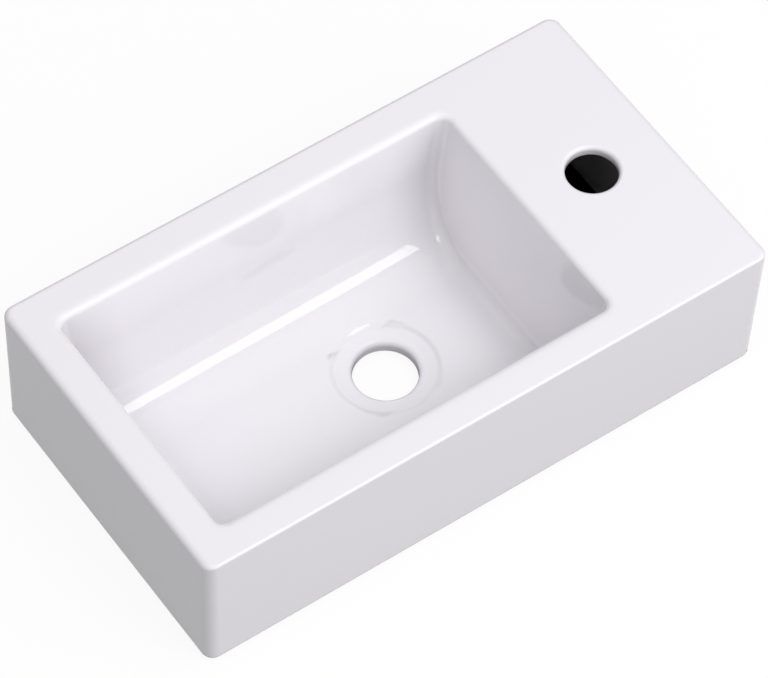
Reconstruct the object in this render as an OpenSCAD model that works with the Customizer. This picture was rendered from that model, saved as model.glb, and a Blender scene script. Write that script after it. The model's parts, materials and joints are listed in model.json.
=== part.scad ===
// Wall hung hand basin. One glazed ceramic casting, open underneath, holds a rectangular bowl and a tap deck
// at its right end. It hangs on two studs in the wall, each with a collar bush, a washer and a nut.
// The origin is on the wall plane, midway between the studs and level with their axes. X runs along the wall,
// -Y points into the room, and Z points up.

/* [Casting] */
// Overall length along the wall
basin_l = 455; // [440:1:500]
// Overall depth out from the wall
basin_d = 250; // [240:1:280]
// Overall height
basin_h = 115; // [108:1:130]
// How far the left, right and front faces lean in at the foot
face_lean = 3; // [1:0.5:5]
// Thickness of the left, right and front walls
wall_t = 9; // [7:0.5:11]
// Thickness of the back wall, which carries the fixings
back_t = 12; // [9:0.5:13]
// Thickness of the rim and of the tap deck
deck_t = 8; // [6.5:0.5:10]
// Thickness of the bowl's shell
shell_t = 8; // [6:0.5:9]
// Rounding of the upright outer corners
corner_r = 9; // [7:0.5:14]
// Rounding of the top outer edge
edge_r = 5; // [3:0.5:6]
// Rounding of the bottom outer edge
foot_r = 4; // [2:0.5:5]
// Rounding inside the hollow's corners
hollow_r = 6; // [4:0.5:8]

/* [Bowl] */
// Flat width of the rim at the left end, up to its rounding
rim_left = 21; // [19:0.5:30]
// Flat width of the rim along the wall, up to its rounding
rim_back = 22.5; // [21:0.5:30]
// Flat width of the rim along the front, up to its rounding
rim_front = 20; // [17:0.5:26]
// Flat length of the tap deck, from the right end to the bowl's rounding
tap_deck_l = 107; // [95:1:120]
// Rounding of the rim into the bowl
rim_r = 8; // [5:0.5:8]
// Height of the bowl's floor above the foot, away from the waste
floor_h = 16; // [14:0.5:24]
// Lean of the bowl's left wall, in degrees
left_lean = 8; // [4:1:12]
// Lean of the bowl's back and front walls, in degrees
long_lean = 6; // [3:1:9]
// Lean of the bowl's right wall, in degrees
right_lean = 11; // [8:1:16]
// Radius of the sweep from the left wall into the floor
left_sweep_r = 30; // [20:1:40]
// Radius of the sweep from the back and front walls into the floor
long_sweep_r = 60; // [45:1:66]
// Radius of the sweep from the right wall into the floor
right_sweep_r = 11.5; // [8:0.5:24]
// Radius of the bowl's upright corners just under the rim
bowl_corner_r = 7; // [5:0.5:10]
// How much those corners open out by the floor
corner_growth = 3; // [1:0.5:10]
// Softness of the blend where those corners come near the waste
corner_blend = 8; // [4:1:12]
// Fall of the floor towards the waste
floor_fall = 1; // [0.5:0.25:1.5]
// Distance from the waste hole over which the floor falls
fall_reach = 110; // [90:5:120]

/* [Waste outlet] */
// Bore of the waste hole
waste_d = 46; // [44:0.5:48]
// Waste centre, measured from the left end
waste_from_left = 229; // [220:1:235]
// Waste centre, measured from the wall
waste_from_wall = 125; // [123:1:130]
// Rounding of the waste hole's upper edge
waste_edge_r = 2; // [1:0.5:2.5]
// Outer radius of the dished seat round the waste hole
dish_r = 42; // [38:1:46]
// Depth of the dished seat
dish_drop = 3; // [2:0.5:4]
// Outer diameter of the flat boss under the waste
boss_d = 74; // [68:1:80]
// Height of the boss's flat face above the foot
boss_h = 2; // [1:0.5:3]

/* [Tap hole] */
// Bore of the tap hole
tap_d = 37; // [34:0.5:38]
// Tap hole centre, measured from the right end
tap_from_right = 58.5; // [54:0.5:62]
// Tap hole centre, measured from the wall
tap_from_wall = 125; // [110:1:140]
// Rounding of the tap hole's upper edge
tap_edge_r = 3; // [1.5:0.5:3.5]
// Chamfer of the tap hole's lower edge
tap_chamfer = 1; // [0.5:0.25:1.5]

/* [Wall fixings] */
// Distance between the two studs
stud_spacing = 280; // [260:1:300]
// Height of the studs above the foot
stud_h = 42; // [38:1:46]
// Diameter of a stud
stud_d = 10; // [8:1:10]
// Length of a stud behind the wall plane
stud_in_wall = 30; // [20:1:40]
// Length of a stud past its nut
stud_past_nut = 3; // [2:0.5:5]
// Bevel at each end of a stud
stud_bevel = 1; // [0.5:0.25:1.5]
// Diameter of the plain neck between a stud's two threads
neck_d = 8.5; // [7:0.5:9]
// Length of that neck, from the wall plane into the wall
neck_l = 3; // [2:0.5:5]
// Diameter of the fixing holes in the back wall
fixing_hole_d = 16; // [15:0.5:18]
// Gap round a collar bush in its hole
bush_gap = 0.3; // [0.1:0.1:0.5]
// Gap round a stud in its collar bush
bush_bore_gap = 0.2; // [0.1:0.1:0.4]
// Diameter of a collar bush's flange
bush_flange_d = 27; // [24:0.5:30]
// Thickness of a collar bush's flange
bush_flange_t = 3; // [2:0.5:3.5]
// How far a collar bush's sleeve stops short of the wall
bush_short = 1; // [0.5:0.5:2]
// Outer diameter of a washer
washer_d = 24; // [21:0.5:27]
// Thickness of a washer
washer_t = 2; // [1.5:0.25:2.5]
// Gap round a stud in its washer
washer_gap = 0.25; // [0.1:0.05:0.5]
// Width of a nut across its flats
nut_af = 17; // [15:0.5:18]
// Height of a nut
nut_t = 8; // [6:0.5:8.5]
// Bevel round the corners of a nut
nut_bevel = 1; // [0.5:0.25:1.5]
// Running clearance between the stud and its nut, on the radius
thread_gap = 0.05; // [0.02:0.01:0.1]

/* [Hidden] */
glaze = [0.95, 0.95, 0.96];
zinc = [0.72, 0.73, 0.75];
nylon = [0.9, 0.9, 0.88];
overrun = 1;

// Heights and ends of the casting in the part's own frame
foot_z = -stud_h;
deck_z = basin_h - stud_h;
floor_z = foot_z + floor_h;
left_x = -basin_l / 2;
right_x = basin_l / 2;
front_y = -basin_d;
waste_x = left_x + waste_from_left;
waste_y = -waste_from_wall;
tap_x = right_x - tap_from_right;
tap_y = -tap_from_wall;
left_stud_x = -stud_spacing / 2;
right_stud_x = stud_spacing / 2;

// Where each fixing piece's room side lies, counted out from the wall
flange_y = -back_t - bush_flange_t;
washer_y = flange_y - washer_t;
nut_y = washer_y - nut_t;
stud_end_y = nut_y - stud_past_nut;

// Counts of steps round the bowl and down its side
corner_steps = 8;
left_part_steps = 5;
right_part_steps = 2;
end_steps = 4;
rim_steps = 6;
sweep_steps = 12;
floor_steps = 6;
edge_steps = 3;
tap_edge_steps = 6;

// Shares: the widest plan corner against the room round the waste, and how much of the waste hole's
// rounding is left when its bore begins
corner_share = 0.95;
bore_share = 0.5;

// One side of the bowl: how far in from the start of the rim's rounding its surface lies at height z.
// The rim's rounding, a leaning wall and the sweep into the floor follow each other without a break.
// With grow above 0 it is the outside of a shell of that thickness.
function side_in(z, lean, sweep_r, grow) =
    let(
        round_z = deck_z - rim_r,
        wall_top_z = round_z + rim_r * sin(lean),
        sweep_z = floor_z + sweep_r,
        wall_foot_z = sweep_z - sweep_r * sin(lean),
        wall_top_in = rim_r * cos(lean),
        sweep_in = wall_top_in + (wall_top_z - wall_foot_z) * tan(lean) + sweep_r * cos(lean),
        r = sweep_r + grow
    )
    z > wall_top_z && grow == 0 ? sqrt(max(0, pow(rim_r, 2) - pow(z - round_z, 2)))
    : z > sweep_z - r * sin(lean) ? wall_top_in + (wall_top_z - z) * tan(lean) - grow / cos(lean)
    : sweep_in - sqrt(max(0, pow(r, 2) - pow(sweep_z - z, 2)));

// The four sides of the bowl at height z, as [left, right, front, back]
function bowl_sides(z, grow) = [
    left_x + rim_left + side_in(z, left_lean, left_sweep_r, grow),
    right_x - tap_deck_l - side_in(z, right_lean, right_sweep_r, grow),
    front_y + rim_front + side_in(z, long_lean, long_sweep_r, grow),
    -rim_back - side_in(z, long_lean, long_sweep_r, grow)
];

// Radius of the bowl's plan corners at height z, for the sides s: a little wider by the floor than under the
// rim, but always less than the room round the waste, which it approaches by a soft blend
function bowl_corner(z, grow, s) =
    let(
        round_z = deck_z - rim_r,
        down = max(0, min(1, (round_z - z) / (round_z - floor_z))),
        flare = z > round_z ? rim_r - sqrt(max(0, pow(rim_r, 2) - pow(z - round_z, 2))) : 0,
        wish = bowl_corner_r + corner_growth * pow(down, 2) + flare + grow,
        limit = corner_share * min(waste_x - s[0], s[1] - waste_x, waste_y - s[2], s[3] - waste_y),
        h = max(0, min(1, (corner_blend + limit - wish) / (2 * corner_blend)))
    )
    limit * (1 - h) + wish * h - corner_blend * h * (1 - h);

// Steps between a and b, without either end
function between(a, b, steps) = [for (k = [1:1:steps - 1]) a + (b - a) * k / steps];

// A quarter circle of plan points
function quarter(cx, cy, r, start) = [
    for (k = [0:corner_steps]) let(a = start + 90 * k / corner_steps) [cx + r * cos(a), cy + r * sin(a)]
];

// One closed ring of plan points, anticlockwise, for the sides s and the corner radius r.
// Its long sides have a point level with the waste, so that the rings below can close in on it.
function plan_ring(s, r) =
    let(x0 = s[0], x1 = s[1], y0 = s[2], y1 = s[3])
    concat(
        [for (y = between(waste_y, y1 - r, end_steps / 2)) [x1, y]],
        quarter(x1 - r, y1 - r, r, 0),
        [for (x = between(x1 - r, waste_x, right_part_steps)) [x, y1]],
        [[waste_x, y1]],
        [for (x = between(waste_x, x0 + r, left_part_steps)) [x, y1]],
        quarter(x0 + r, y1 - r, r, 90),
        [for (y = between(y1 - r, y0 + r, end_steps)) [x0, y]],
        quarter(x0 + r, y0 + r, r, 180),
        [for (x = between(x0 + r, waste_x, left_part_steps)) [x, y0]],
        [[waste_x, y0]],
        [for (x = between(waste_x, x1 - r, right_part_steps)) [x, y0]],
        quarter(x1 - r, y0 + r, r, 270),
        [for (y = between(y0 + r, waste_y, end_steps / 2)) [x1, y]],
        [[x1, waste_y]]
    );

// How far a point of the bowl at distance r from the waste centre is sunk, by the dished seat and by the
// floor's fall. Both end without a break.
function drop_at(r) =
    let(
        inner_r = waste_d / 2 + waste_edge_r,
        t = max(0, min(1, (dish_r - r) / (dish_r - inner_r))),
        fall_share = max(0, min(1, (inner_r + fall_reach - r) / fall_reach))
    )
    dish_drop * t * t * (3 - 2 * t) + floor_fall * pow(fall_share, 2);

// A ring at height z, sunk where the dished seat and the fall reach it
function sunk_ring(points, z) = [
    for (p = points) [p[0], p[1], z - drop_at(norm([p[0] - waste_x, p[1] - waste_y]))]
];

// A ring of the bowl's side at height z
function side_ring(z, grow) = let(s = bowl_sides(z, grow)) plan_ring(s, bowl_corner(z, grow, s));

// The circle of radius r round the waste, with one point for each point of the floor's edge.
// Each point's angle is that of its floor point once the floor is stretched to a square round the waste.
function waste_ring(edge, r) =
    let(
        x0 = min([for (p = edge) p[0]]),
        x1 = max([for (p = edge) p[0]]),
        y0 = min([for (p = edge) p[1]]),
        y1 = max([for (p = edge) p[1]])
    )
    [
        for (p = edge)
            let(
                dx = p[0] - waste_x,
                dy = p[1] - waste_y,
                a = atan2(dy / (dy > 0 ? y1 - waste_y : waste_y - y0), dx / (dx > 0 ? x1 - waste_x : waste_x - x0))
            )
            [waste_x + r * cos(a), waste_y + r * sin(a)]
    ];

// A point inside a ring, at the height of the ring's first point
function ring_middle(ring) = [waste_x, waste_y, ring[0][2]];

// Closes a stack of equal rings round the waste's axis, listed from the top down, into one solid
module skin(rings) {
    n = len(rings[0]);
    low = (len(rings) - 1) * n;
    top_middle = low + n;
    low_middle = top_middle + 1;
    polyhedron(
        points = concat(
            [for (ring = rings) each ring],
            [ring_middle(rings[0]), ring_middle(rings[len(rings) - 1])]
        ),
        faces = concat(
            [for (i = [0:n - 1]) [top_middle, (i + 1) % n, i]],
            [
                for (a0 = [0:n:low - n], i = [0:n - 1])
                    let(a = a0 + i, b = a0 + (i + 1) % n)
                    each [[a, b, b + n], [a, b + n, a + n]]
            ],
            [for (i = [0:n - 1]) [low_middle, low + i, low + (i + 1) % n]]
        ),
        convexity = 6
    );
}

// The space inside the bowl: rim rounding, walls, sweeps, floor, dished seat and the waste hole's rounded edge
module bowl_space() {
    round_z = deck_z - rim_r;
    heights = concat(
        [for (k = [0:rim_steps - 1]) round_z + rim_r * cos(90 * k / rim_steps)],
        [for (k = [0:sweep_steps]) round_z + (floor_z - round_z) * sin(90 * k / sweep_steps)]
    );
    edge = side_ring(floor_z, 0);
    mouth_r = waste_d / 2 + waste_edge_r;
    mouth = waste_ring(edge, mouth_r);
    lip_z = floor_z - floor_fall - dish_drop - waste_edge_r;
    last_a = acos(bore_share / 2);
    skin(concat(
        [[for (p = side_ring(deck_z, 0)) [p[0], p[1], deck_z + overrun]]],
        [for (z = heights) sunk_ring(side_ring(z, 0), z)],
        [
            for (k = [1:floor_steps])
                let(t = k / floor_steps * (2 - k / floor_steps))
                sunk_ring([for (i = [0:len(edge) - 1]) edge[i] * (1 - t) + mouth[i] * t], floor_z)
        ],
        [
            for (k = [1:edge_steps])
                let(r = mouth_r - waste_edge_r * sin(last_a * k / edge_steps))
                [for (p = waste_ring(edge, r)) [p[0], p[1], lip_z + waste_edge_r * cos(last_a * k / edge_steps)]]
        ],
        [[for (p = waste_ring(edge, waste_d / 2 - overrun)) [p[0], p[1], lip_z]]]
    ));
}

// The outside of the bowl's shell, as seen from below
module bowl_shell() {
    top_z = deck_z - deck_t + overrun;
    low_z = floor_z - shell_t;
    skin([
        for (k = [0:sweep_steps])
            let(z = top_z + (low_z - top_z) * sin(90 * k / sweep_steps))
            [for (p = side_ring(z, shell_t)) [p[0], p[1], z]]
    ]);
}

// The flat boss that the waste's back nut bears on
module waste_boss() {
    translate([waste_x, waste_y, foot_z + boss_h])
        cylinder(d = boss_d, h = floor_h - boss_h - shell_t / 2, $fn = 64);
}

// One disc with a rounded rim, for a corner of the outer form at the deck or at the foot
module corner_disc(x, y, z, r) {
    translate([x, y, z])
        rotate_extrude($fn = 32)
            intersection() {
                translate([corner_r - r, 0])
                    circle(r = r, $fn = 24);
                translate([0, -r])
                    square([corner_r, 2 * r]);
            }
}

// The outer form of the casting, leaning in slightly at the foot on the three sides that show
module outer_form() {
    hull() {
        for (side = [-1, 1]) {
            corner_disc(side * (right_x - corner_r), -corner_r, deck_z - edge_r, edge_r);
            corner_disc(side * (right_x - corner_r), front_y + corner_r, deck_z - edge_r, edge_r);
            corner_disc(side * (right_x - face_lean - corner_r), -corner_r, foot_z + foot_r, foot_r);
            corner_disc(side * (right_x - face_lean - corner_r), front_y + face_lean + corner_r, foot_z + foot_r, foot_r);
        }
    }
}

// The space inside the outer walls and under the deck, before the bowl's shell is put back
module hollow_form() {
    top_z = deck_z - deck_t - hollow_r;
    low_z = foot_z - overrun;
    hull() {
        for (side = [-1, 1]) {
            translate([side * (right_x - wall_t - hollow_r), -back_t - hollow_r, top_z])
                sphere(r = hollow_r, $fn = 24);
            translate([side * (right_x - wall_t - hollow_r), front_y + wall_t + hollow_r, top_z])
                sphere(r = hollow_r, $fn = 24);
            translate([side * (right_x - face_lean - wall_t - hollow_r), -back_t - hollow_r, low_z])
                cylinder(r = hollow_r, h = overrun, $fn = 24);
            translate([side * (right_x - face_lean - wall_t - hollow_r), front_y + face_lean + wall_t + hollow_r, low_z])
                cylinder(r = hollow_r, h = overrun, $fn = 24);
        }
    }
}

// The hollow under the casting: open below, with the bowl's shell and the waste boss hanging in it
module hollow() {
    difference() {
        hollow_form();
        bowl_shell();
        waste_boss();
    }
}

// The tap hole, turned from one profile: a chamfer at its lower edge, the bore, and a rounded upper edge
module tap_hole() {
    r = tap_d / 2;
    translate([tap_x, tap_y, deck_z])
        rotate_extrude($fn = 96)
            polygon(concat(
                [
                    [0, overrun],
                    [0, -deck_t - overrun],
                    [r + tap_chamfer + overrun, -deck_t - overrun],
                    [r, tap_chamfer - deck_t]
                ],
                [
                    for (k = [0:tap_edge_steps])
                        let(a = 90 * k / tap_edge_steps)
                        [r + tap_edge_r * (1 - cos(a)), tap_edge_r * (sin(a) - 1)]
                ],
                [[r + tap_edge_r, overrun]]
            ));
}

// The waste hole's straight bore, up into its rounded edge
module waste_bore() {
    top_z = floor_z - floor_fall - dish_drop - waste_edge_r * (1 - bore_share);
    translate([waste_x, waste_y, foot_z - overrun])
        cylinder(d = waste_d, h = top_z - foot_z + overrun, $fn = 96);
}

// One hole through the back wall
module fixing_hole(x) {
    translate([x, overrun, 0])
        rotate([90, 0, 0])
            cylinder(d = fixing_hole_d, h = back_t + 2 * overrun, $fn = 64);
}

module basin() {
    color(glaze)
        difference() {
            outer_form();
            hollow();
            bowl_space();
            tap_hole();
            waste_bore();
            fixing_hole(left_stud_x);
            fixing_hole(right_stud_x);
        }
}

// A steel stud, turned along its axis: one thread in the wall, a plain neck, and one thread that ends past its nut
module stud(x) {
    r = stud_d / 2;
    color(zinc)
        translate([x, 0, 0])
            rotate([90, 0, 0])
                rotate_extrude($fn = 48)
                    polygon([
                        [0, -stud_in_wall], [r - stud_bevel, -stud_in_wall], [r, stud_bevel - stud_in_wall],
                        [r, -neck_l], [neck_d / 2, -neck_l], [neck_d / 2, 0],
                        [r, 0], [r, -stud_end_y - stud_bevel], [r - stud_bevel, -stud_end_y], [0, -stud_end_y]
                    ]);
}

// A nylon bush that centres the stud in the ceramic, with a flange under the washer
module collar_bush(x) {
    color(nylon)
        translate([x, 0, 0])
            rotate([90, 0, 0])
                difference() {
                    union() {
                        translate([0, 0, bush_short])
                            cylinder(d = fixing_hole_d - 2 * bush_gap, h = back_t - bush_short, $fn = 64);
                        translate([0, 0, back_t])
                            cylinder(d = bush_flange_d, h = bush_flange_t, $fn = 64);
                    }
                    cylinder(d = stud_d + 2 * bush_bore_gap, h = back_t + bush_flange_t + overrun, $fn = 64);
                }
}

module washer(x) {
    color(zinc)
        translate([x, flange_y, 0])
            rotate([90, 0, 0])
                difference() {
                    cylinder(d = washer_d, h = washer_t, $fn = 64);
                    translate([0, 0, -overrun])
                        cylinder(d = stud_d + 2 * washer_gap, h = washer_t + 2 * overrun, $fn = 64);
                }
}

// A hexagon nut, with the corners of both its faces bevelled by a turned cone
module nut(x) {
    across_corners = nut_af / cos(30);
    color(zinc)
        translate([x, washer_y, 0])
            rotate([90, 0, 0])
                difference() {
                    intersection() {
                        cylinder(d = across_corners, h = nut_t, $fn = 6);
                        rotate_extrude($fn = 64)
                            polygon([
                                [0, 0], [across_corners / 2 - nut_bevel, 0],
                                [across_corners / 2, nut_bevel / 2], [across_corners / 2, nut_t - nut_bevel / 2],
                                [across_corners / 2 - nut_bevel, nut_t], [0, nut_t]
                            ]);
                    }
                    translate([0, 0, -overrun])
                        cylinder(d = stud_d + 2 * thread_gap, h = nut_t + 2 * overrun, $fn = 48);
                }
}

basin();
stud(left_stud_x);  // left_stud
stud(right_stud_x);  // right_stud
collar_bush(left_stud_x);  // left_collar_bush
collar_bush(right_stud_x);  // right_collar_bush
washer(left_stud_x);  // left_washer
washer(right_stud_x);  // right_washer
nut(left_stud_x);  // left_nut
nut(right_stud_x);  // right_nut
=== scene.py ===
import bmesh
import bpy
import json
import math
import numpy as np
from mathutils import Matrix, Vector

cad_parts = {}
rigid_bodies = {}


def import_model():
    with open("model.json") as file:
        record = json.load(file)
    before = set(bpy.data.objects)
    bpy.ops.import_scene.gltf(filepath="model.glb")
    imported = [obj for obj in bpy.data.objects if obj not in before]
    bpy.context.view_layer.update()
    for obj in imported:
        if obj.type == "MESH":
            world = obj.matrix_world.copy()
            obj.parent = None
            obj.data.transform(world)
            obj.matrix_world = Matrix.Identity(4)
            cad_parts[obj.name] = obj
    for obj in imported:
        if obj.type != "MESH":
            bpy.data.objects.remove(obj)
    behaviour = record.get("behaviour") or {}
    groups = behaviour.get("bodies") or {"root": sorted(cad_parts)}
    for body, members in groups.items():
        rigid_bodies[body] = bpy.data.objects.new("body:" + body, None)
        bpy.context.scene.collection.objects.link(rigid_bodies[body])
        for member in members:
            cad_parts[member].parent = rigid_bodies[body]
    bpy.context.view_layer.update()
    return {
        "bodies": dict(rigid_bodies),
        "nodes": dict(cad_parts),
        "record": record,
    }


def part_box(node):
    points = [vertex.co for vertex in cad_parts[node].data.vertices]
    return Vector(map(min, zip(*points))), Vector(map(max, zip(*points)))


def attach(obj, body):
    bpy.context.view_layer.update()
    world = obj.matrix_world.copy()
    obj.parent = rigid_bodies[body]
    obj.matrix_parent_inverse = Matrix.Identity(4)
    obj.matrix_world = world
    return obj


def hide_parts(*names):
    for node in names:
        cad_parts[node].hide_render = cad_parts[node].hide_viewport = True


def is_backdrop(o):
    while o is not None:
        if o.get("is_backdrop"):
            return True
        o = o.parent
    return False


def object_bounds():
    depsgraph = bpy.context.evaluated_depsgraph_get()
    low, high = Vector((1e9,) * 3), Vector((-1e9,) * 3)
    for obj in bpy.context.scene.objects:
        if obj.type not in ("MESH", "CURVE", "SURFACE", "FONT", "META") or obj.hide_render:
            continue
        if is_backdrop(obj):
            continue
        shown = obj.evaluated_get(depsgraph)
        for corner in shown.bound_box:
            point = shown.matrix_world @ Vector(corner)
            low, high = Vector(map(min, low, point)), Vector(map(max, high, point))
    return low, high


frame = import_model()
body = next(iter(frame["bodies"]))

# The basin casting. One piece of vitreous china, slip-cast in a plaster mould, its edges sponged, then glazed
# white all over except the foot and the back, and fired. It is one closed skin: a section that runs from the
# rim over the bowl, round the waste, up under the deck, down the outer walls and back over the deck.
basin_low, basin_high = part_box("basin")
left_x, front_y, foot_z = basin_low
right_x, back_y, deck_z = basin_high
mounts = {m["name"]: m for m in frame["record"]["mounts"]}
tap_x, tap_y = mounts["tap_hole"]["pos_m"][:2]
tap_r = mounts["tap_hole"]["dims"]["r_mm"] / 1000
waste_x, waste_y = mounts["waste_hole"]["pos_m"][:2]
waste_r = mounts["waste_hole"]["dims"]["r_mm"] / 1000

# The bowl: the flat rim round it, then a rounding, a wall and a sweep on each side, which differ by side
RIM_LEFT = 0.021
RIM_BACK = 0.0225
RIM_FRONT = 0.020
TAP_DECK = 0.107
RIM_R = 0.008
FLOOR_H = 0.016
LEFT_LEAN = math.radians(8)
LONG_LEAN = math.radians(6)
RIGHT_LEAN = math.radians(11)
LEFT_SWEEP = 0.030
LONG_SWEEP = 0.060
RIGHT_SWEEP = 0.0115
BOWL_CORNER = 0.007
BOWL_CORNER_GROWTH = 0.003
floor_z = foot_z + FLOOR_H
round_z = deck_z - RIM_R


def rounding(z):
    """How far the rim's rounding has come in at height z: RIM_R (1 - t^3)^(1/3), tighter than a circle."""
    t = np.clip((z - round_z) / RIM_R, 0, 1)
    return RIM_R * (1 - t ** 3) ** (1 / 3)


def side_in(z, lean, sweep, grow):
    """How far a side of the bowl has come in from the start of the rim's rounding, at height z.
    The rounding, a wall at the angle lean and a sweep of radius sweep follow each other. With grow above 0
    it is the outside of a shell of that thickness."""
    wall_top_z = round_z + RIM_R * math.sin(lean)
    wall_top_in = RIM_R * math.cos(lean)
    sweep_z = floor_z + sweep
    wall_foot_z = sweep_z - sweep * math.sin(lean)
    sweep_in = wall_top_in + (wall_top_z - wall_foot_z) * math.tan(lean) + sweep * math.cos(lean)
    r = sweep + grow
    wall = wall_top_in + (wall_top_z - z) * math.tan(lean) - grow / math.cos(lean)
    floor_sweep = sweep_in - np.sqrt(np.maximum(r ** 2 - (sweep_z - z) ** 2, 0))
    low = z <= sweep_z - r * math.sin(lean)
    high = (z > wall_top_z) & (grow == 0)
    return np.where(low, floor_sweep, np.where(high, np.minimum(rounding(z), wall), wall))


# Columns of the skin: even steps round each corner and along each half side, a half ending level with the
# waste. The two ends have finer columns in a patch that the tap hole goes through.
CORNER_STEPS = 32
RIGHT_HALF_STEPS = 14
LEFT_HALF_STEPS = 24
PATCH_STEPS = 12
TAP_PATCH = 0.028
end_back_y = back_y - RIM_BACK - RIM_R - BOWL_CORNER
end_front_y = front_y + RIM_FRONT + RIM_R + BOWL_CORNER


def steps(start, end, count):
    """count even steps from start towards end, which is left out."""
    return start + (end - start) * np.arange(count) / count


def skin_columns():
    """For each column, anticlockwise from the start of the back right corner: which corner's centre it
    belongs to, its angle round that centre, and its share of the way to the waste's own x or y."""
    half_sides = [
        (True, True, 0, RIGHT_HALF_STEPS, "x"), (False, True, 1, LEFT_HALF_STEPS, "x"),
        (False, True, 1, None, "y"), (False, False, 2, None, "y"),
        (False, False, 2, LEFT_HALF_STEPS, "x"), (True, False, 3, RIGHT_HALF_STEPS, "x"),
        (True, False, 3, None, "y"), (True, True, 4, None, "y"),
    ]
    table = []
    for k, (at_right, at_back, quarter, count, axis) in enumerate(half_sides):
        after_corner = k % 2 == 0
        if after_corner:
            for angle in quarter * math.pi / 2 + steps(0, math.pi / 2, CORNER_STEPS):
                table.append((at_right, at_back, angle, 0, 0))
        straight = (quarter + 1 if after_corner else quarter) * math.pi / 2
        if count is None:
            run = end_back_y - waste_y if at_back else waste_y - end_front_y
            split = 1 - TAP_PATCH / run
            share = np.hstack([steps(0, split, PATCH_STEPS), steps(split, 1, PATCH_STEPS), [1]])
        else:
            share = np.linspace(0, 1, count + 1)
        for part in share[:-1] if after_corner else share[:0:-1]:
            x_share, y_share = (part, 0) if axis == "x" else (0, part)
            table.append((at_right, at_back, straight, x_share, y_share))
    return [np.array(values) for values in zip(*table)]


is_right, is_back, round_angle, share_x, share_y = skin_columns()
column_count = len(is_right)


def bowl_ring(z, grow=0.0):
    """Plan points of the bowl, or of the outside of its shell, at heights z (rows, or rows by columns).
    A rounded rectangle whose corner radius grows a little with the square of the depth."""
    x0 = left_x + RIM_LEFT + side_in(z, LEFT_LEAN, LEFT_SWEEP, grow)
    x1 = right_x - TAP_DECK - side_in(z, RIGHT_LEAN, RIGHT_SWEEP, grow)
    y0 = front_y + RIM_FRONT + side_in(z, LONG_LEAN, LONG_SWEEP, grow)
    y1 = back_y - RIM_BACK - side_in(z, LONG_LEAN, LONG_SWEEP, grow)
    down = np.clip((round_z - z) / (round_z - floor_z), 0, 1)
    r = BOWL_CORNER + BOWL_CORNER_GROWTH * down ** 2 + RIM_R - rounding(z) + grow
    centre_x = np.where(is_right, x1 - r, x0 + r)
    centre_y = np.where(is_back, y1 - r, y0 + r)
    x = (centre_x + r * np.cos(round_angle)) * (1 - share_x) + waste_x * share_x
    y = (centre_y + r * np.sin(round_angle)) * (1 - share_y) + waste_y * share_y
    return x, y


# The floor falls a little towards the waste, whose seat has a short soft step all round and then falls gently
FLOOR_FALL = 0.001
FALL_REACH = 0.110
SEAT_R = 0.0395
SEAT_STEP = 0.0044
SEAT_STEP_DROP = 0.0023
SEAT_DROP = 0.003
WASTE_EDGE_R = 0.0045


def smooth(t):
    """The smooth step 3t^2 - 2t^3 on 0..1."""
    t = np.clip(t, 0, 1)
    return t * t * (3 - 2 * t)


def sunk(x, y, z):
    """Points of the bowl or its floor, lowered by their distance from the waste: by a smooth step at the
    seat's rim, a smooth step from there to the hole, and the square of the way in over FALL_REACH."""
    r = np.hypot(x - waste_x, y - waste_y)
    away = r - waste_r - WASTE_EDGE_R
    inner = SEAT_R - SEAT_STEP - waste_r - WASTE_EDGE_R
    step = SEAT_STEP_DROP * smooth((SEAT_R - r) / SEAT_STEP)
    dish = (SEAT_DROP - SEAT_STEP_DROP) * smooth(1 - away / inner)
    fall = FLOOR_FALL * np.clip(1 - away / FALL_REACH, 0, 1) ** 2
    return np.stack([x, y, z - (step + dish) - fall + 0 * x], axis=-1)


def column(values):
    """Values as a column: one for each row of a grid."""
    return np.asarray(values, dtype=float).reshape(-1, 1)


def quarter_turn(count):
    """Angles from 0 to 90 degrees in count even steps, with both ends."""
    return np.linspace(0, math.pi / 2, count + 1)


# Rows of the bowl: over the rim's rounding, then down the walls in finer steps towards the floor
RIM_STEPS = 18
BOWL_STEPS = 80
rim_z = round_z + RIM_R * np.cos(quarter_turn(RIM_STEPS))
wall_z = round_z + (floor_z - round_z) * np.sin(quarter_turn(BOWL_STEPS)[1:])
z = column(np.hstack([rim_z, wall_z]))
bowl_rows = sunk(*bowl_ring(z), z)


def waste_circle(x, y, r):
    """The circle of radius r round the waste, with a point for each point of the ring (x, y), at the angle
    that this point has once the ring is stretched to a square round the waste."""
    dx, dy = x - waste_x, y - waste_y
    wide = np.where(dx > 0, x.max() - waste_x, waste_x - x.min())
    deep = np.where(dy > 0, y.max() - waste_y, waste_y - y.min())
    angle = np.arctan2(dy / deep, dx / wide)
    return waste_x + r * np.cos(angle), waste_y + r * np.sin(angle)


# Rows of the floor: its edge closes in on the waste hole, in finer steps towards the hole
FLOOR_STEPS = 60
edge_x, edge_y = bowl_ring(np.array([[floor_z]]))
mouth_x, mouth_y = waste_circle(edge_x, edge_y, waste_r + WASTE_EDGE_R)
t = column(1 - (1 - np.linspace(0, 1, FLOOR_STEPS + 1)[1:]) ** 2)
floor_rows = sunk(edge_x * (1 - t) + mouth_x * t, edge_y * (1 - t) + mouth_y * t, floor_z)


def level(x, y, z):
    """Rows of plan points with a height for each row or each point."""
    return np.stack([x, y, z + 0 * x], axis=-1)


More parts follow.
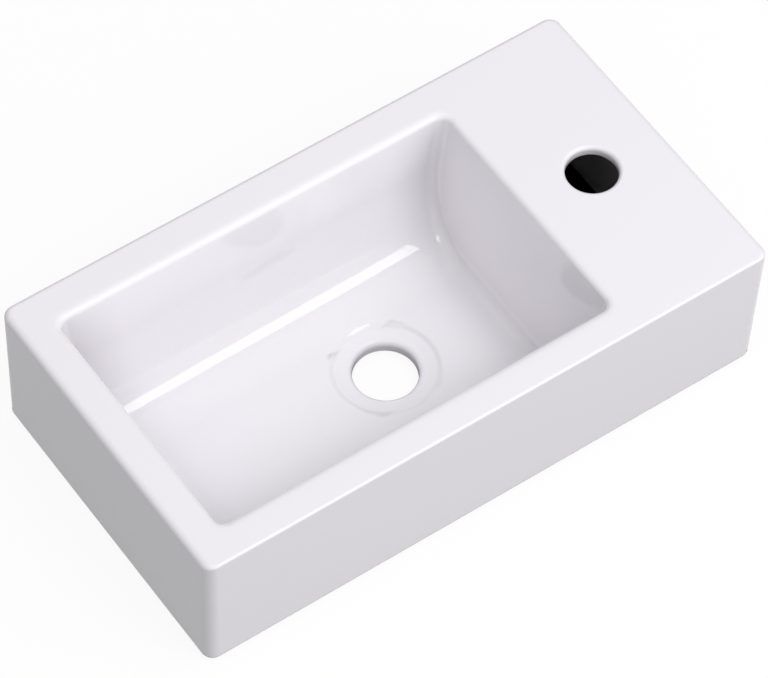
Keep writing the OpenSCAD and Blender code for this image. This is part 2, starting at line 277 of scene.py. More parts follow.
# The waste hole: rounded upper edge, bore, lower edge, the boss that the waste's back nut bears on, and the
# boss's fillet into the underside of the floor
SHELL = 0.008
FILLET_R = 0.003
WASTE_LOWER_R = 0.0008
BOSS_R = 0.037
BOSS_H = 0.002
BOSS_EDGE_R = 0.001
WASTE_EDGE_STEPS = 8
SMALL_EDGE_STEPS = 4
BOSS_FACE_STEPS = 3
under_z = floor_z - SHELL
boss_z = foot_z + BOSS_H
lip_z = floor_z - FLOOR_FALL - SEAT_DROP - WASTE_EDGE_R
upper = quarter_turn(WASTE_EDGE_STEPS)[1:]
lower = quarter_turn(SMALL_EDGE_STEPS)
boss_face_r = np.linspace(waste_r + WASTE_LOWER_R, BOSS_R - BOSS_EDGE_R, BOSS_FACE_STEPS + 1)[1:]
profile_r = np.hstack([
    waste_r + WASTE_EDGE_R * (1 - np.sin(upper)),
    waste_r + WASTE_LOWER_R * (1 - np.cos(lower)),
    boss_face_r,
    BOSS_R - BOSS_EDGE_R * (1 - np.sin(lower[1:])),
    BOSS_R + FILLET_R * (1 - np.cos(lower)),
])
profile_z = np.hstack([
    lip_z + WASTE_EDGE_R * np.cos(upper),
    boss_z + WASTE_LOWER_R * (1 - np.sin(lower)),
    np.full(len(boss_face_r), boss_z),
    boss_z + BOSS_EDGE_R * (1 - np.cos(lower[1:])),
    under_z - FILLET_R * (1 - np.sin(lower)),
])
waste_rows = level(*waste_circle(edge_x, edge_y, column(profile_r)), column(profile_z))

# The underside of the floor: from the boss out to the shell's lowest ring
UNDER_STEPS = 6
low_x, low_y = bowl_ring(np.array([[under_z]]), SHELL)
boss_x, boss_y = waste_circle(edge_x, edge_y, BOSS_R + FILLET_R)
t = column(np.linspace(0, 1, UNDER_STEPS + 1)[1:])
under_rows = level(boss_x * (1 - t) + low_x * t, boss_y * (1 - t) + low_y * t, under_z)

# The outside of the bowl's shell, up to a fillet under the roof of the hollow
DECK = 0.008
SHELL_STEPS = 26
FILLET_STEPS = 5
roof_z = deck_z - DECK
fillet_z = roof_z - FILLET_R
z = fillet_z + (under_z - fillet_z) * column(np.sin(quarter_turn(SHELL_STEPS)[::-1][1:]))
shell_rows = level(*bowl_ring(z, SHELL), z)
bend = column(quarter_turn(FILLET_STEPS)[1:])
z = roof_z - FILLET_R * (1 - np.sin(bend))
fillet_rows = level(*bowl_ring(z, SHELL + FILLET_R * (1 - np.cos(bend))), z)

# Where each corner begins among the columns, with the count of columns after the fourth. On the outer rings
# the first and the last part of a corner's columns run straight, and the middle part goes round.
ring_share = share_x + share_y
corner_starts = np.flatnonzero((ring_share == 0) & (np.roll(ring_share, 1) > 0))
corner_starts = np.hstack([corner_starts, [column_count]])
STRAIGHT_STEPS = CORNER_STEPS // 4
arc = steps(0, math.pi / 2, CORNER_STEPS - 2 * STRAIGHT_STEPS)


def outer_ring(x0, x1, y0, y1, r):
    """Plan points of a rounded rectangle opposite those of the bowl's rim. Each corner runs straight, round
    and straight between the ends of the bowl's straight sides. The arguments are columns. The table of
    corners gives each one's place, and the directions of the sides before and after it."""
    rim_x, rim_y = bowl_ring(np.array([[deck_z]]))
    t = steps(0, 1, STRAIGHT_STEPS)
    corners = [
        (x1, y1, (0, 1), (-1, 0)), (x0, y1, (-1, 0), (0, -1)),
        (x0, y0, (0, -1), (1, 0)), (x1, y0, (1, 0), (0, 1)),
    ]
    rings = [[], []]
    for k, (corner_x, corner_y, *directions) in enumerate(corners):
        start, stop = corner_starts[k], corner_starts[k + 1]
        end = start + CORNER_STEPS
        for axis, corner, rim in ((0, corner_x, rim_x[0]), (1, corner_y, rim_y[0])):
            before, after = directions[0][axis], directions[1][axis]
            begin = rim[start] if after == 0 else corner
            finish = rim[end] if before == 0 else corner
            first, last = corner - before * r, corner + after * r
            bend = first + after * r + r * (before * np.sin(arc) - after * np.cos(arc))
            side = rim[end:stop] + 0 * corner if before == 0 else corner + 0 * rim[end:stop]
            rings[axis] += [begin + (first - begin) * t, bend, last + (finish - last) * t, side]
    return np.hstack(rings[0]), np.hstack(rings[1])


# The inside of the outer walls, from a fillet under the roof down to the foot
WALL = 0.009
BACK_WALL = 0.012
HOLLOW_CORNER_R = 0.006
FOOT_INSET = 0.003
FOOT_INNER_R = 0.0015
WALL_STEPS = 8


def hollow_ring(z, inset):
    """A ring on the inside of the outer walls: WALL thick, but BACK_WALL thick along the wall of the room.
    Left, front and right lean in by FOOT_INSET from the deck to the foot."""
    side = FOOT_INSET * np.clip((deck_z - z) / (deck_z - foot_z), 0, 1) + WALL + inset
    back = back_y - BACK_WALL - inset + 0 * z
    return outer_ring(left_x + side, right_x - side, front_y + side, back, HOLLOW_CORNER_R + 0 * z)


bend = column(quarter_turn(FILLET_STEPS)[::-1])
z = roof_z - FILLET_R * (1 - np.sin(bend))
inner_rows = level(*hollow_ring(z, FILLET_R * (1 - np.cos(bend))), z)
t = column(np.linspace(0, 1, WALL_STEPS + 1)[1:])
z = fillet_z * (1 - t) + (foot_z + FOOT_INNER_R) * t
wall_rows = level(*hollow_ring(z, 0 * t), z)

# The roof between the two fillets, with finer rows where the tap hole goes through
STEPS_BESIDE_PATCH = 3
right_column = int(np.flatnonzero(share_y == 1)[-1])


def strip_shares(start, end, outside, inside):
    """Shares of the way from x = start to x = end, with even steps over the tap hole's patch."""
    patch_start, patch_end = tap_x + TAP_PATCH, tap_x - TAP_PATCH
    x = np.hstack([
        steps(start, patch_start, outside), steps(patch_start, patch_end, 2 * PATCH_STEPS),
        np.linspace(patch_end, end, inside + 1),
    ])
    return (x - start) / (end - start)


roof_from, roof_to = fillet_rows[-1], inner_rows[0]
roof_shares = strip_shares(
    roof_to[right_column, 0], roof_from[right_column, 0], STEPS_BESIDE_PATCH, STEPS_BESIDE_PATCH,
)
t = 1 - roof_shares[::-1][1:-1, None, None]
roof_rows = roof_from * (1 - t) + roof_to * t

# The foot, the outer walls and the rounding to the deck. The rounding is an ellipse of its own on each side,
# and the corners' radius gets smaller over it.
TOP_INSETS = {"left": 0.0015, "right": 0.0003, "front": 0.0012, "back": 0.0}
EDGE_WIDTHS = {"left": 0.006, "right": 0.006, "front": 0.0021, "back": 0.004}
EDGE_HEIGHTS = {"left": 0.0044, "right": 0.0044, "front": 0.0018, "back": 0.004}
CORNER_R = 0.009
EDGE_CORNER_LOSS = 0.005
FOOT_R = 0.004
FOOT_INNER_STEPS = 4
FOOT_STEPS = 8
EDGE_STEPS = 14


def outer_face(z, inset, r, edge=0.0):
    """A ring on the outer walls, moved in by inset. Left, front and right lean, from their own TOP_INSETS to
    FOOT_INSET at the foot. With edge above 0 it lies that share of the way over the rounding of the deck."""
    low = np.clip((deck_z - z) / (deck_z - foot_z), 0, 1)
    move = {}
    for side, top in TOP_INSETS.items():
        lean = 0 if side == "back" else (FOOT_INSET - top) * low
        move[side] = top + lean + inset + EDGE_WIDTHS[side] * edge
    x0, x1 = left_x + move["left"], right_x - move["right"]
    return outer_ring(x0, x1, front_y + move["front"], back_y - move["back"], r + 0 * z)


def ring_facing():
    """The angle at which each column of an outer ring faces outwards."""
    angles = []
    for k in range(4):
        start, end = k * math.pi / 2, (k + 1) * math.pi / 2
        rest = corner_starts[k + 1] - corner_starts[k] - STRAIGHT_STEPS - len(arc)
        angles += [np.full(STRAIGHT_STEPS, start), start + arc, np.full(rest, end)]
    return np.hstack(angles)


bend = column(quarter_turn(FOOT_INNER_STEPS)[1:])
z = foot_z + FOOT_INNER_R * (1 - np.sin(bend))
foot_rows = level(*hollow_ring(z, -FOOT_INNER_R * (1 - np.cos(bend))), z)
bend = column(quarter_turn(FOOT_STEPS))
z = foot_z + FOOT_R * (1 - np.cos(bend))
foot_in = FOOT_R * (1 - np.sin(bend))
base_rows = level(*outer_face(z, foot_in, CORNER_R - foot_in), z)
facing_x, facing_y = np.cos(ring_facing()), np.sin(ring_facing())
edge_height = (
    np.where(facing_x > 0, EDGE_HEIGHTS["right"], EDGE_HEIGHTS["left"]) * facing_x ** 2
    + np.where(facing_y > 0, EDGE_HEIGHTS["back"], EDGE_HEIGHTS["front"]) * facing_y ** 2
)
bend = column(quarter_turn(EDGE_STEPS))
over_edge = 1 - np.cos(bend)
z = deck_z - edge_height * (1 - np.sin(bend))
row_z = z.mean(axis=1, keepdims=True)
edge_rows = level(*outer_face(row_z, 0, CORNER_R - EDGE_CORNER_LOSS * over_edge, over_edge), z)
t = np.linspace(0, 1, WALL_STEPS + 1)[1:-1, None, None]
face_rows = base_rows[-1] * (1 - t) + edge_rows[0] * t
outer_rows = np.concatenate([foot_rows, base_rows, face_rows, edge_rows])

# The deck: from its outer edge in to the bowl's rim, with finer rows where the tap hole goes through
DECK_OUTER_STEPS = 4
deck_from, deck_to = outer_rows[-1], bowl_rows[0]
deck_shares = strip_shares(
    deck_from[right_column, 0], deck_to[right_column, 0], DECK_OUTER_STEPS, STEPS_BESIDE_PATCH,
)
t = deck_shares[1:-1, None, None]
deck_rows = deck_from * (1 - t) + deck_to * t

# The skin: all the rows closed round and on themselves. The tap hole's two patches are left out of it.
before_roof = [bowl_rows, floor_rows, waste_rows, under_rows, shell_rows, fillet_rows]
grid = np.concatenate(before_roof + [roof_rows, inner_rows, wall_rows, outer_rows, deck_rows])
row_count = len(grid)
index = np.arange(row_count * column_count).reshape(row_count, column_count)
beside = np.roll(index, -1, axis=1)
quads = np.stack([index, beside, np.roll(beside, -1, axis=0), np.roll(index, -1, axis=0)], axis=-1)
kept = np.ones((row_count, column_count), dtype=bool)
points = grid.reshape(-1, 3)


def patch_loop(first_row):
    """The grid's points round a patch over or under the tap hole, and the patch taken out of the skin."""
    last_row = first_row + 2 * PATCH_STEPS
    first, last = right_column - PATCH_STEPS, right_column + PATCH_STEPS
    kept[first_row:last_row, first:last] = False
    return np.hstack([
        index[first_row, first:last], index[first_row:last_row, last],
        index[last_row, last:first:-1], index[last_row:first_row:-1, first],
    ])


def loop_angles(loop):
    """The angles of a patch's points round the tap hole."""
    return np.arctan2(points[loop, 1] - tap_y, points[loop, 0] - tap_x)


deck_loop = patch_loop(row_count - len(deck_rows) + DECK_OUTER_STEPS - 1)
roof_first = sum(len(rows) for rows in before_roof)
roof_loop = patch_loop(roof_first + STEPS_BESIDE_PATCH - 1)[::-1]
nearest = int(np.argmin(np.abs(loop_angles(roof_loop) - loop_angles(deck_loop)[0])))
roof_loop = np.roll(roof_loop, -nearest)

# The tap hole: each patch closes in on a circle, and between them lie a rounded edge, the bore and a chamfer
TAP_EDGE_R = 0.003
TAP_CHAMFER = 0.001
TAP_EDGE_STEPS = 10
PATCH_RINGS = 4
angle = loop_angles(deck_loop)
bend = quarter_turn(TAP_EDGE_STEPS)
profile = np.vstack([
    np.column_stack([tap_r + TAP_EDGE_R * (1 - np.sin(bend)), deck_z - TAP_EDGE_R * (1 - np.cos(bend))]),
    [[tap_r, roof_z + TAP_CHAMFER], [tap_r + TAP_CHAMFER, roof_z]],
])
circle = np.stack([np.cos(angle), np.sin(angle)], axis=-1)
tube_xy = (tap_x, tap_y) + profile[:, :1, None] * circle
tube_z = np.broadcast_to(profile[:, 1:, None], (len(profile), len(angle), 1))
tube = np.concatenate([tube_xy, tube_z], axis=-1)
t = np.linspace(0, 1, PATCH_RINGS + 1)[1:-1, None, None]
over = points[deck_loop] * (1 - t) + tube[0] * t
under = tube[-1] * (1 - t) + points[roof_loop] * t
tube = np.concatenate([over, tube, under])
tube_index = len(points) + np.arange(tube.shape[0] * tube.shape[1]).reshape(tube.shape[:2])
tube_index = np.vstack([deck_loop, tube_index, roof_loop])
beside = np.roll(tube_index, -1, axis=1)
tube_quads = np.stack([tube_index[:-1], beside[:-1], beside[1:], tube_index[1:]], axis=-1)
points = np.vstack([points, tube.reshape(-1, 3)])
faces = np.vstack([quads[kept], tube_quads.reshape(-1, 4)])
used, faces = np.unique(faces, return_inverse=True)
points, faces = points[used], faces.reshape(-1, 4)


def closed_skin(name, points, faces):
    """An object of the given points and faces, with every face turned outwards."""
    mesh = bpy.data.meshes.new(name)
    mesh.from_pydata(points.tolist(), [], faces)
    bm = bmesh.new()
    bm.from_mesh(mesh)
    bmesh.ops.recalc_face_normals(bm, faces=bm.faces)
    bm.to_mesh(mesh)
    bm.free()
    skin = bpy.data.objects.new(name, mesh)
    bpy.context.collection.objects.link(skin)
    return skin


casting = closed_skin("glazed_casting", points, faces.tolist())
casting.data.shade_smooth()
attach(casting, body)
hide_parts("basin")

# The two fixing holes, cut through the back wall round the studs
FIXING_HOLE_R = 0.008
PLUG_OVERRUN = 0.002
PLUG_POINTS = 64


def plug(name, x, r):
    """A closed cylinder along Y through the back wall: two rings of PLUG_POINTS points, and two flat ends."""
    angle = steps(0, 2 * math.pi, PLUG_POINTS)
    ring = np.stack([x + r * np.cos(angle), 0 * angle, r * np.sin(angle)], axis=-1)
    points = np.concatenate([ring + (0, y, 0) for y in (PLUG_OVERRUN, -BACK_WALL - PLUG_OVERRUN)])
    near = np.arange(PLUG_POINTS)
    beside = np.roll(near, -1)
    sides = np.stack([near, beside, PLUG_POINTS + beside, PLUG_POINTS + near], axis=-1)
    cutter = closed_skin(name, points, sides.tolist() + [near[::-1].tolist(), (PLUG_POINTS + near).tolist()])
    cutter.hide_render = True
    cutter.hide_viewport = True
    cutter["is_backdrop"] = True
    return cutter


for side in ("left", "right"):
    low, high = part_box(side + "_stud")
    hole = casting.modifiers.new(side + "_fixing_hole", "BOOLEAN")
    hole.operation = "DIFFERENCE"
    hole.solver = "EXACT"
    hole.object = plug(side + "_fixing_hole_cutter", (low.x + high.x) / 2, FIXING_HOLE_R)
even = casting.modifiers.new("even_shading", "WEIGHTED_NORMAL")
even.keep_sharp = True


# The casting's finish. The white glaze is glassy, with the faint waves of a sprayed and fired coat, and is
# greyed by painted shade in the bowl's tight hollows. The foot and the back are bare fired clay, with fine
# dark grains.
def new_material(name, base, roughness, metallic=0.0):
    """A material of one colour, its node tree and its shader, for the nodes that follow."""
    material = bpy.data.materials.new(name)
    material.use_nodes = True
    shader = material.node_tree.nodes["Principled BSDF"]
    shader.inputs["Base Color"].default_value = (*base, 1)
    shader.inputs["Roughness"].default_value = roughness
    shader.inputs["Metallic"].default_value = metallic
    return material, material.node_tree, shader


def grain(tree, scale, detail=2.0, stretch=(1, 1, 1)):
    """Noise on the object's own coordinates, with scale features to the metre."""
    place = tree.nodes.new("ShaderNodeTexCoord")
    mapping = tree.nodes.new("ShaderNodeMapping")
    mapping.inputs["Scale"].default_value = stretch
    noise = tree.nodes.new("ShaderNodeTexNoise")
    noise.inputs["Scale"].default_value = scale
    noise.inputs["Detail"].default_value = detail
    tree.links.new(place.outputs["Object"], mapping.inputs["Vector"])
    tree.links.new(mapping.outputs["Vector"], noise.inputs["Vector"])
    return noise.outputs["Fac"]


def ranged(tree, value, low, high, to_low, to_high):
    """The value's range low..high, taken to to_low..to_high and held there beyond it."""
    node = tree.nodes.new("ShaderNodeMapRange")
    for name, end in (("From Min", low), ("From Max", high), ("To Min", to_low), ("To Max", to_high)):
        node.inputs[name].default_value = end
    tree.links.new(value, node.inputs["Value"])
    return node.outputs["Result"]


def blended(tree, share, first, second):
    """Two colours or colour outputs, mixed by share."""
    node = tree.nodes.new("ShaderNodeMix")
    node.data_type = "RGBA"
    tree.links.new(share, node.inputs["Factor"])
    for socket, colour in ((node.inputs["A"], first), (node.inputs["B"], second)):
        if isinstance(colour, tuple):
            socket.default_value = (*colour, 1)
        else:
            tree.links.new(colour, socket)
    return node.outputs["Result"]


def raised(tree, shader, height, distance, strength):
    """A bump of the height in metres given by distance."""
    bump = tree.nodes.new("ShaderNodeBump")
    bump.inputs["Strength"].default_value = strength
    bump.inputs["Distance"].default_value = distance
    tree.links.new(height, bump.inputs["Height"])
    tree.links.new(bump.outputs["Normal"], shader.inputs["Normal"])


def math_node(tree, operation, *inputs):
    """A math node, of which each input is a number or another node's output. A sum is held in 0..1."""
    node = tree.nodes.new("ShaderNodeMath")
    node.operation = operation
    node.use_clamp = operation == "ADD"
    for socket, value in zip(node.inputs, inputs):
        if isinstance(value, (int, float)):
            socket.default_value = value
        else:
            tree.links.new(value, socket)
    return node.outputs["Value"]


GLAZE_WHITE = (0.866, 0.843, 0.884)
# The next grey is painted shade, mixed into the glaze in the bowl's creases
GLAZE_PAINTED_SHADE = (0.37, 0.355, 0.385)
BARE_CLAY = (0.74, 0.70, 0.64)
CLAY_GRAIN = (0.52, 0.47, 0.41)
SHADE_REACH = 0.045
SHADE_SHARE = 0.62
SHADE_TIGHT, SHADE_OPEN = 0.45, 0.88
LEFT_FACING = (-0.95, -0.80)
BELOW_FLOOR = (0.004, 0.002)
BARE_FOOT = (0.0005, 0.0009)
BARE_BACK = (0.0006, 0.0002)
GLAZE_SMOOTH, GLAZE_DULL = 0.035, 0.065
CLAY_ROUGHER = 0.75
WAVE_HEIGHT = 0.0004
glaze, tree, shader = new_material("white_glaze", GLAZE_WHITE, 0.05)
# Ambient occlusion finds the bowl's creases, where the glaze gets painted shade
hollow = tree.nodes.new("ShaderNodeAmbientOcclusion")
hollow.samples = 3
hollow.only_local = True
hollow.inputs["Distance"].default_value = SHADE_REACH
place = tree.nodes.new("ShaderNodeTexCoord")
split = tree.nodes.new("ShaderNodeSeparateXYZ")
tree.links.new(place.outputs["Object"], split.inputs["Vector"])
facing = tree.nodes.new("ShaderNodeSeparateXYZ")
tree.links.new(place.outputs["Normal"], facing.inputs["Vector"])

# Painted shade: ambient occlusion greys the glaze in the bowl's creases, on the floor and walls, but not on
# faces that look left, nor below the floor
painted_shade = ranged(tree, hollow.outputs["AO"], SHADE_TIGHT, SHADE_OPEN, SHADE_SHARE, 0.0)
painted_shade = math_node(tree, "MULTIPLY", painted_shade, ranged(tree, facing.outputs["X"], *LEFT_FACING, 0, 1))
lowest, highest = (floor_z - drop for drop in BELOW_FLOOR)
painted_shade = math_node(tree, "MULTIPLY", painted_shade, ranged(tree, split.outputs["Z"], lowest, highest, 0, 1))
glazed = blended(tree, painted_shade, GLAZE_WHITE, GLAZE_PAINTED_SHADE)
at_foot = ranged(tree, split.outputs["Z"], foot_z + BARE_FOOT[0], foot_z + BARE_FOOT[1], 1, 0)
at_back = ranged(tree, split.outputs["Y"], back_y - BARE_BACK[0], back_y - BARE_BACK[1], 0, 1)
bare = math_node(tree, "MAXIMUM", at_foot, at_back)
speckle = ranged(tree, grain(tree, 900, 3), 0.56, 0.68, 0, 1)
clay = blended(tree, speckle, BARE_CLAY, CLAY_GRAIN)
tree.links.new(blended(tree, bare, glazed, clay), shader.inputs["Base Color"])
gloss = ranged(tree, grain(tree, 60), 0.3, 0.7, GLAZE_SMOOTH, GLAZE_DULL)
rougher = ranged(tree, bare, 0, 1, 0, CLAY_ROUGHER)
tree.links.new(math_node(tree, "ADD", gloss, rougher), shader.inputs["Roughness"])
raised(tree, shader, grain(tree, 22, 1), WAVE_HEIGHT, 0.25)
casting.data.materials.append(glaze)

# The two studs. Each is a 10 mm steel rod, zinc plated, with a rolled thread at each end and a short plain
# neck at the wall's face between them. One end goes into the wall, and the other carries the bush, the washer
# and the nut. The plate is bright, with cloudy patches and fine marks from tumbling.
THREAD_PITCH = 0.0015
THREAD_DEPTH = 0.0009
THREAD_FLAT = 0.15
STUD_CONE = 0.0012
NECK_R = 0.00425
NECK_LENGTH = 0.003
ROWS_PER_TURN = 10
STUD_COLUMNS = 48


def threaded_rod(name, low, high):
    """A rod along Y that fills the box from low to high. Its radius is the rod's own less a groove along a
    helix: turns = y / pitch - angle / 2 pi, and the groove is a triangle wave of turns with flattened tips.
    Each end is a cone, and the neck has one radius."""
    outer = (high.x - low.x) / 2
    middle_x, middle_z = (low.x + high.x) / 2, (low.z + high.z) / 2
    count = int((high.y - low.y) / THREAD_PITCH * ROWS_PER_TURN)
    y = column(np.linspace(low.y, high.y, count))
    angle = steps(0, 2 * math.pi, STUD_COLUMNS)
    wave = np.abs(2 * np.mod(y / THREAD_PITCH - angle / (2 * math.pi), 1) - 1)
    r = outer - THREAD_DEPTH * np.clip((1 + 2 * THREAD_FLAT) * wave - THREAD_FLAT, 0, 1)
    r = np.minimum(r, outer - np.maximum(STUD_CONE - np.minimum(y - low.y, high.y - y), 0))
    r = np.where((y > 0) & (y < NECK_LENGTH), NECK_R, r)
    grid = np.stack([middle_x + r * np.cos(angle), y + 0 * r, middle_z + r * np.sin(angle)], axis=-1)
    ends = np.array([(middle_x, low.y, middle_z), (middle_x, high.y, middle_z)])
    index = np.arange(count * STUD_COLUMNS).reshape(count, STUD_COLUMNS)
    beside = np.roll(index, -1, axis=1)
    sides = np.stack([index[:-1], beside[:-1], beside[1:], index[1:]], axis=-1).reshape(-1, 4)
    first = np.stack([beside[0], index[0], np.full(STUD_COLUMNS, index.size)], axis=-1)
    last = np.stack([index[-1], beside[-1], np.full(STUD_COLUMNS, index.size + 1)], axis=-1)
    points = np.vstack([grid.reshape(-1, 3), ends])
    return closed_skin(name, points, sides.tolist() + first.tolist() + last.tolist())


PLATE_BRIGHT = (0.68, 0.69, 0.72)
PLATE_CLOUDY = (0.55, 0.55, 0.55)
zinc, tree, shader = new_material("zinc_plate", (0.62, 0.63, 0.65), 0.28, metallic=1.0)
cloud = ranged(tree, grain(tree, 350, 4), 0.35, 0.7, 0, 1)
tree.links.new(blended(tree, cloud, PLATE_BRIGHT, PLATE_CLOUDY), shader.inputs["Base Color"])
tree.links.new(ranged(tree, grain(tree, 1200, 2), 0.3, 0.7, 0.2, 0.38), shader.inputs["Roughness"])
raised(tree, shader, grain(tree, 2500, 2, (1, 0.2, 1)), 0.00005, 0.4)

for side in ("left", "right"):
    rod = threaded_rod(side + "_threaded_rod", *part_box(side + "_stud"))
    rod.data.shade_smooth()
    rod.data.materials.append(zinc)
    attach(rod, body)
    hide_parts(side + "_stud")


# The washers and the nuts. They are pressed and cold-formed from steel and plated like the studs. The washers
# spread the load on the bushes' flanges, and the nuts draw the casting up to the wall.
def refinish(kind, material):
    """The left and the right piece of a kind, as the CAD makes them, in the given material."""
    for side in ("left", "right"):
        mesh = frame["nodes"][side + "_" + kind].data
        mesh.materials.clear()
        mesh.materials.append(material)


refinish("washer", zinc)
refinish("nut", zinc)

# The collar bushes. They are moulded in natural nylon, off-white and a little waxy, with flow marks. They
# slide over the studs into the casting's holes, and keep steel off the clay.
NYLON_PALE = (0.82, 0.81, 0.76)
NYLON_DEEP = (0.76, 0.75, 0.69)
nylon, tree, shader = new_material("nylon", (0.80, 0.79, 0.74), 0.42)
flow = ranged(tree, grain(tree, 260, 2, (1, 3, 1)), 0.35, 0.65, 0, 1)
tree.links.new(blended(tree, flow, NYLON_PALE, NYLON_DEEP), shader.inputs["Base Color"])
tree.links.new(ranged(tree, grain(tree, 700, 2), 0.3, 0.7, 0.36, 0.5), shader.inputs["Roughness"])
raised(tree, shader, grain(tree, 1500, 2), 0.00004, 0.4)
refinish("collar_bush", nylon)

# The camera stands in front of the basin's left end and looks down on it through a long lens. The place and
# the turn were worked out from the straight edges, the two round holes and the corners in the photograph.
CAMERA_AIM = Vector((0.0029, -0.1200, 0.0))
CAMERA_AZIMUTH = math.radians(-36.57)
CAMERA_ELEVATION = math.radians(54.778)
CAMERA_ROLL = math.radians(2.167)
CAMERA_DISTANCE = 3.4376
SENSOR_WIDTH = 36.0
FOCAL_LENGTH_PX = 5073.7
PHOTO_WIDTH_PX = 768

back = Vector((
    math.sin(CAMERA_AZIMUTH) * math.cos(CAMERA_ELEVATION),
    -math.cos(CAMERA_AZIMUTH) * math.cos(CAMERA_ELEVATION),
    math.sin(CAMERA_ELEVATION),
))
level_right = Vector((math.cos(CAMERA_AZIMUTH), math.sin(CAMERA_AZIMUTH), 0.0))
right = Matrix.Rotation(CAMERA_ROLL, 3, back) @ level_right
turn = Matrix((right, back.cross(right), back)).transposed()
camera_data = bpy.data.cameras.new("camera")
camera_data.sensor_width = SENSOR_WIDTH
camera_data.lens = FOCAL_LENGTH_PX / PHOTO_WIDTH_PX * SENSOR_WIDTH
camera_data.clip_end = 50.0
camera = bpy.data.objects.new("camera", camera_data)
camera.matrix_world = Matrix.Translation(CAMERA_AIM + back * CAMERA_DISTANCE) @ turn.to_4x4()
bpy.context.collection.objects.link(camera)
bpy.context.scene.camera = camera
bpy.context.scene.view_settings.view_transform = "Standard"

# The floor. It glows as white as the photograph's background, but to the camera and in reflections alone.
# Its own grey is weak, so that the shadow stays faint, and paler to the basin's walls than to the camera. A
# patch under the deck is painted black, painted shade, and all under the basin is dark in reflections, also
# painted shade.
FLOOR_HALF = 4.0
FLOOR_GAP = 0.0005
FLOOR_GREY = 0.095
FLOOR_GREY_TO_WALLS = 0.15
FLOOR_WHITE = 0.9
FLOOR_IN_GLAZE = 0.78
# The first patch is painted black, painted shade seen through the tap hole; under the second the floor is
# dark in reflections, painted shade
UNDER_DECK = ((0.060, 0.2225), (-0.110, -0.020))
UNDER_BASIN = ((-0.224, 0.224), (-0.247, -0.001))
signs = ((-1, -1), (1, -1), (1, 1), (-1, 1))
corners = [(x * FLOOR_HALF, y * FLOOR_HALF, foot_z - FLOOR_GAP) for x, y in signs]
mesh = bpy.data.meshes.new("floor")
mesh.from_pydata(corners, [], [(0, 1, 2, 3)])
floor = bpy.data.objects.new("floor", mesh)
bpy.context.collection.objects.link(floor)
floor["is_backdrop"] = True
material, tree, shader = new_material("floor", (FLOOR_GREY, FLOOR_GREY, FLOOR_GREY), 1.0)
shader.inputs["Specular IOR Level"].default_value = 0.0
mesh.materials.append(material)
place = tree.nodes.new("ShaderNodeTexCoord")
split = tree.nodes.new("ShaderNodeSeparateXYZ")
tree.links.new(place.outputs["Object"], split.inputs["Vector"])


def outside(patch):
    """1 outside a rectangle of the floor, 0 inside it."""
    inside = 1.0
    for axis, (low, high) in zip("XY", patch):
        above = math_node(tree, "GREATER_THAN", split.outputs[axis], low)
        below = math_node(tree, "LESS_THAN", split.outputs[axis], high)
        inside = math_node(tree, "MULTIPLY", inside, math_node(tree, "MULTIPLY", above, below))
    return math_node(tree, "SUBTRACT", 1.0, inside)


path = tree.nodes.new("ShaderNodeLightPath")
# Painted shade: inside the patch under the deck the floor has no glow and no grey
not_black = outside(UNDER_DECK)
to_camera = math_node(tree, "MULTIPLY", path.outputs["Is Camera Ray"], not_black)
to_camera = math_node(tree, "MULTIPLY", to_camera, FLOOR_WHITE)
in_glaze = math_node(tree, "ADD", path.outputs["Is Glossy Ray"], path.outputs["Is Transmission Ray"])
# Painted shade: under the basin the floor shows no glow in reflections
in_glaze = math_node(tree, "MULTIPLY", in_glaze, outside(UNDER_BASIN))
in_glaze = math_node(tree, "MULTIPLY", in_glaze, FLOOR_IN_GLAZE)
glow = tree.nodes.new("ShaderNodeEmission")
tree.links.new(math_node(tree, "ADD", to_camera, in_glaze), glow.inputs["Strength"])
camera_loss = FLOOR_GREY - FLOOR_GREY_TO_WALLS
grey = math_node(tree, "MULTIPLY_ADD", path.outputs["Is Camera Ray"], camera_loss, FLOOR_GREY_TO_WALLS)
tree.links.new(math_node(tree, "MULTIPLY", grey, not_black), shader.inputs["Base Color"])
both = tree.nodes.new("ShaderNodeAddShader")
tree.links.new(shader.outputs["BSDF"], both.inputs[0])
tree.links.new(glow.outputs["Emission"], both.inputs[1])
tree.links.new(both.outputs["Shader"], tree.nodes["Material Output"].inputs["Surface"])

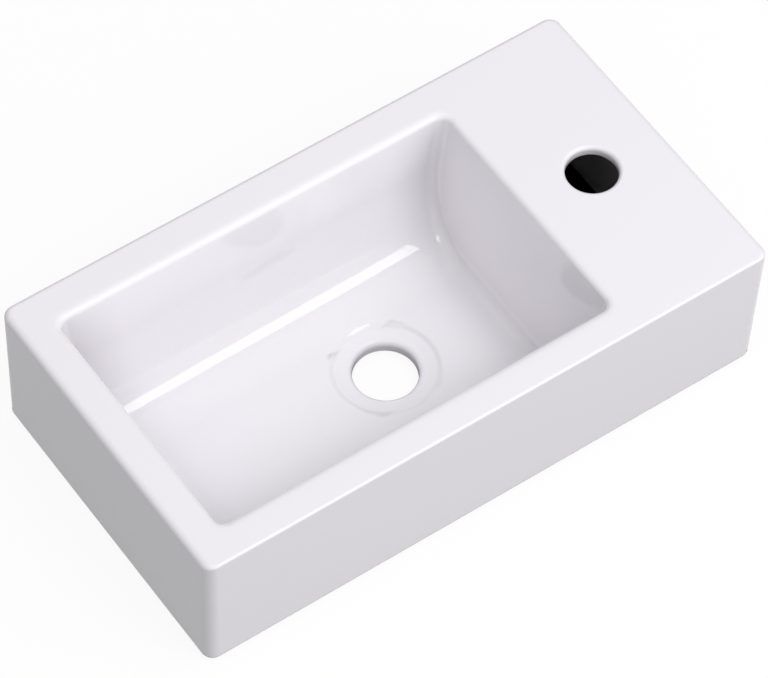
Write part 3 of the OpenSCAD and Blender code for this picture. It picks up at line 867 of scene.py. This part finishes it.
# The room's soft light: even, and brighter from above and from the front. Each lobe is the square of the
# cosine to its own direction, times its strength.
ROOM_LIGHT = 0.205
ROOM_LOBES = (((0.0, 0.0, 1.0), 0.83), ((0.2, -0.76, 0.62), 0.72))
world = bpy.data.worlds.new("room")
world.use_nodes = True
bpy.context.scene.world = world
tree = world.node_tree
room = tree.nodes["Background"]
room.inputs["Color"].default_value = (1, 1, 1, 1)
place = tree.nodes.new("ShaderNodeTexCoord")
strength = ROOM_LIGHT
for direction, share in ROOM_LOBES:
    toward = tree.nodes.new("ShaderNodeVectorMath")
    toward.operation = "DOT_PRODUCT"
    toward.inputs[1].default_value = direction
    tree.links.new(place.outputs["Generated"], toward.inputs[0])
    lobe = math_node(tree, "POWER", math_node(tree, "MAXIMUM", toward.outputs["Value"], 0.0), 2.0)
    strength = math_node(tree, "MULTIPLY_ADD", lobe, share, strength)
tree.links.new(strength, room.inputs["Strength"])


# The lamps: a long narrow strip, whose image is the highlight along the bowl's back sweep, and a wide soft
# panel in front
def area_light(name, target, direction, distance, size, size_y, power, turned=0.0):
    """A rectangle of light in the given direction from target, facing it. Its long side lies along X, or is
    turned from there by an angle."""
    data = bpy.data.lights.new(name, "AREA")
    data.shape = "RECTANGLE"
    data.size, data.size_y = size, size_y
    data.energy = power
    lamp = bpy.data.objects.new(name, data)
    away = Vector(direction).normalized()
    along = (Vector((1, 0, 0)) - away * away.x).normalized()
    facing = Matrix((along, away.cross(along), away)).transposed().to_4x4()
    there = Matrix.Translation(Vector(target) + away * distance)
    lamp.matrix_world = there @ facing @ Matrix.Rotation(turned, 4, "Z")
    bpy.context.collection.objects.link(lamp)
    lamp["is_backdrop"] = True


area_light(
    "strip", target=(0.01, -0.11, 0.0), direction=(0.344, -0.588, 0.732), distance=1.6,
    size=1.1, size_y=0.28, power=4.4, turned=math.radians(-30),
)
area_light(
    "front", target=(0, -0.12, 0.0), direction=(0, -1, 0.25), distance=2.2,
    size=3.2, size_y=1.0, power=8.9,
)

low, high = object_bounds()
